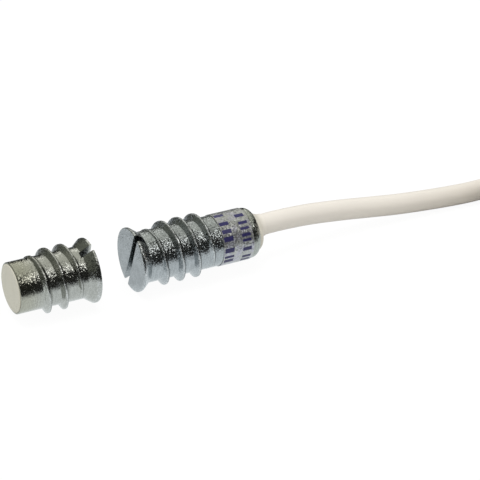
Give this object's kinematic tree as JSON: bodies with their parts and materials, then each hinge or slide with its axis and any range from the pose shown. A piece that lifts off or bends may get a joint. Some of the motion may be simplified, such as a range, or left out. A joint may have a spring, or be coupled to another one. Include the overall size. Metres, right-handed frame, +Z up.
{
  "type": "magnetic door contact",
  "caption": "Screw-in reed switch unit with cable, and its matching magnet unit; slotted countersunk heads and a coarse thread on round metal bodies.",
  "frame": {"origin": "on the ground under the middle of the two units, measured without the cable", "axes": "+X along the common axis of both units, from the magnet unit towards the switch unit and its cable; +Z up; the pictured side faces -Y"},
  "size_m": [0.1377, 0.0404, 0.0216],
  "materials": {
    "zinc": "bright zinc plate, finely grained",
    "film": "thin clear film with plain print bars",
    "resin": "cast cream resin",
    "silicone": "soft translucent grey",
    "glass": "clear greenish glass",
    "reed_alloy": "plated nickel iron",
    "tinned_copper": "tinned copper",
    "solder": "bright solder",
    "jacket": "smooth warm white PVC",
    "tie_nylon": "natural nylon strap",
    "wire_white": "smooth PVC",
    "wire_brown": "smooth PVC",
    "wire_yellow": "smooth PVC",
    "wire_green": "smooth PVC",
    "magnet_metal": "ground cast magnet alloy"
  },
  "bodies": {
    "switch_unit": {"switch_housing": "zinc", "label_wrap": "film", "potting_resin": "resin", "reed_cushion": "silicone", "reed_glass": "glass", "reed_lead_front": "reed_alloy", "reed_lead_rear": "reed_alloy", "return_wire": "tinned_copper", "return_sleeve": "silicone", "solder_front": "solder", "solder_rear": "solder", "solder_return": "solder", "conductor_white": "wire_white", "conductor_brown": "wire_brown", "conductor_yellow": "wire_yellow", "conductor_green": "wire_green", "tamper_joint": "solder", "cable": "jacket", "cable_hank": "jacket", "cable_tie": "tie_nylon", "cable_end": "jacket", "tail_white": "wire_white", "tail_brown": "wire_brown", "tail_yellow": "wire_yellow", "tail_green": "wire_green", "tip_white": "tinned_copper", "tip_brown": "tinned_copper", "tip_yellow": "tinned_copper", "tip_green": "tinned_copper"},
    "magnet_unit": {"magnet_housing": "zinc", "magnet": "magnet_metal", "magnet_resin": "resin"},
    "front_blade": {"reed_blade_front": "reed_alloy"},
    "rear_blade": {"reed_blade_rear": "reed_alloy"}
  },
  "joints": [
    {"name": "magnet_travel", "type": "slide", "parent": "switch_unit", "child": "magnet_unit", "axis": [-1, 0, 0], "range_m": [-0.0064, 0.03]},
    {"name": "front_blade_bend", "type": "hinge", "parent": "switch_unit", "child": "front_blade", "pos_m": [0.00524, 0, 0.00515], "axis": [0, 1, 0], "range_deg": [0, 0.4], "stiffness_Nm_per_rad": 0.0001},
    {"name": "rear_blade_bend", "type": "hinge", "parent": "switch_unit", "child": "rear_blade", "pos_m": [0.01255, 0, 0.00495], "axis": [0, 1, 0], "range_deg": [0, 0.4], "stiffness_Nm_per_rad": 0.0001}
  ],
  "couplings": [
    {"joint": "rear_blade_bend", "follows": "front_blade_bend", "ratio": 1}
  ]
}
